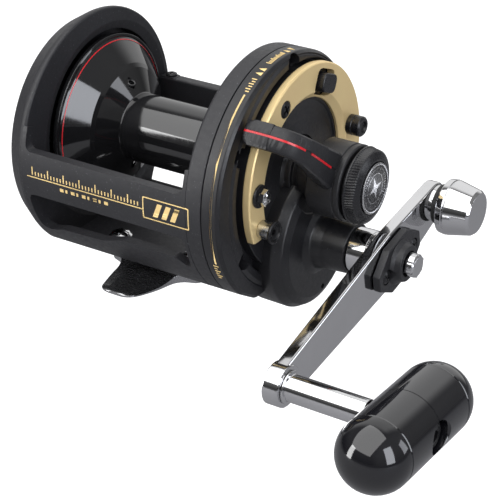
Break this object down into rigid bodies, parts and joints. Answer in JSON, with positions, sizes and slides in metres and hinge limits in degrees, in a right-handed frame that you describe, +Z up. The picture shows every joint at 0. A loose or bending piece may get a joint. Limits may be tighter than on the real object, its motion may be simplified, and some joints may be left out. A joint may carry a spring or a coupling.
{
  "type": "lever drag trolling reel",
  "caption": "Conventional trolling reel with twin-ring frame, wide open spool, side-mounted lever drag over a sector plate, and a counterweighted crank with a T-shaped grip.",
  "frame": {"origin": "centre of the reel foot's flat underside", "axes": "+X along the spool axis from the clicker side to the handle side, +Y towards the rod tip, +Z up from the foot to the spool"},
  "size_m": [0.1801, 0.1384, 0.0941],
  "materials": {
    "graphite": "satin moulded graphite with a fine fleck",
    "side_black": "black semi-gloss",
    "black_anodised": "gloss black anodised, polished flange edges",
    "black_lever": "black satin paint",
    "gold_anodised": "champagne gold anodised, fine brushed grain",
    "chrome": "polished chrome plate",
    "steel": "polished stainless steel",
    "dark_steel": "polished dark stainless steel",
    "black_steel": "black oxide",
    "bronze": "machined gear bronze",
    "friction": "woven friction disc",
    "grip_black": "gloss black",
    "ring_rubber": "matte black rubber",
    "red": "red enamel",
    "knob_black": "black, ribbed rim",
    "emblem": "bright ring around a dark face"
  },
  "bodies": {
    "reel_body": {"frame": "graphite", "left_side_cover": "side_black", "left_cover_screw_1": "black_steel", "left_cover_screw_2": "black_steel", "left_cover_screw_3": "black_steel", "spool_shaft": "steel", "pinion_bearing": "steel", "handle_bearing": "steel", "side_plate": "side_black", "side_plate_screw_1": "black_steel", "side_plate_screw_2": "black_steel", "side_plate_screw_3": "black_steel", "drag_quadrant": "gold_anodised", "quadrant_screw": "black_steel", "quadrant_washer": "steel", "quadrant_bolt": "steel", "free_stop_spacer": "steel", "free_stop_screw": "black_steel", "full_stop_post": "black_steel", "reel_foot": "dark_steel", "foot_screw_1": "chrome", "foot_screw_2": "chrome", "foot_screw_3": "chrome", "foot_screw_4": "chrome", "crossbar_screw": "black_steel"},
    "crank": {"handle_shaft": "steel", "main_gear": "bronze", "ratchet_wheel": "steel", "shaft_collar": "chrome", "handle_arm": "chrome", "retainer_plate": "black_lever", "retainer_screw_1": "black_steel", "retainer_screw_2": "black_steel", "handle_nut": "chrome", "counterweight": "chrome", "counterweight_ring": "ring_rubber", "grip_post": "chrome"},
    "spool": {"spool": "black_anodised", "spool_bearing_left": "steel", "spool_bearing_right": "steel", "click_gear": "bronze", "drag_washer": "friction"},
    "pinion": {"pinion_gear": "bronze", "drive_plate": "steel"},
    "grip": {"grip_barrel": "grip_black", "grip_cap_rear": "grip_black", "grip_cap_front": "grip_black", "grip_screw": "black_steel"},
    "lever": {"drag_lever": "black_lever", "lever_inlay": "red"},
    "cam": {"drag_cam_follower": "steel"},
    "knob": {"preset_knob": "knob_black", "knob_emblem": "emblem"},
    "button": {"strike_button": "side_black"},
    "clicker": {"clicker_button": "side_black", "click_pawl": "steel"},
    "pawl": {"anti_reverse_pawl": "steel"}
  },
  "joints": [
    {"name": "crank_turn", "type": "hinge", "parent": "reel_body", "child": "crank", "pos_m": [0.079, 0.00217, 0.01868], "axis": [1, 0, 0], "continuous": true},
    {"name": "spool_spin", "type": "hinge", "parent": "reel_body", "child": "spool", "pos_m": [0, 0, 0.044], "axis": [1, 0, 0], "continuous": true},
    {"name": "pinion_spin", "type": "hinge", "parent": "reel_body", "child": "pinion", "pos_m": [0.044, 0, 0.044], "axis": [1, 0, 0], "continuous": true},
    {"name": "grip_spin", "type": "hinge", "parent": "crank", "child": "grip", "pos_m": [0.1237, -0.06513, 0.00462], "axis": [1, 0, 0], "continuous": true},
    {"name": "lever_swing", "type": "hinge", "parent": "reel_body", "child": "lever", "pos_m": [0.063, 0, 0.044], "axis": [1, 0, 0], "range_deg": [-117, 43]},
    {"name": "cam_lift", "type": "slide", "parent": "reel_body", "child": "cam", "axis": [1, 0, 0], "range_m": [-0.0003, 0.0007]},
    {"name": "knob_turn", "type": "hinge", "parent": "reel_body", "child": "knob", "pos_m": [0.073, 0, 0.044], "axis": [1, 0, 0], "range_deg": [-180, 180]},
    {"name": "button_press", "type": "slide", "parent": "reel_body", "child": "button", "axis": [-1, 0, 0], "range_m": [0, 0.0018], "stiffness_N_per_m": 800},
    {"name": "clicker_slide", "type": "slide", "parent": "reel_body", "child": "clicker", "axis": [0, 1, 0], "range_m": [0, 0.0028]},
    {"name": "pawl_swing", "type": "hinge", "parent": "reel_body", "child": "pawl", "pos_m": [0.0488, -0.01463, 0.01868], "axis": [1, 0, 0], "range_deg": [0, 10], "stiffness_Nm_per_rad": 0.003}
  ],
  "couplings": [
    {"joint": "spool_spin", "follows": "crank_turn", "ratio": -4},
    {"joint": "pinion_spin", "follows": "crank_turn", "ratio": -4},
    {"joint": "cam_lift", "follows": "lever_swing", "m_per_rad": -0.0003}
  ]
}
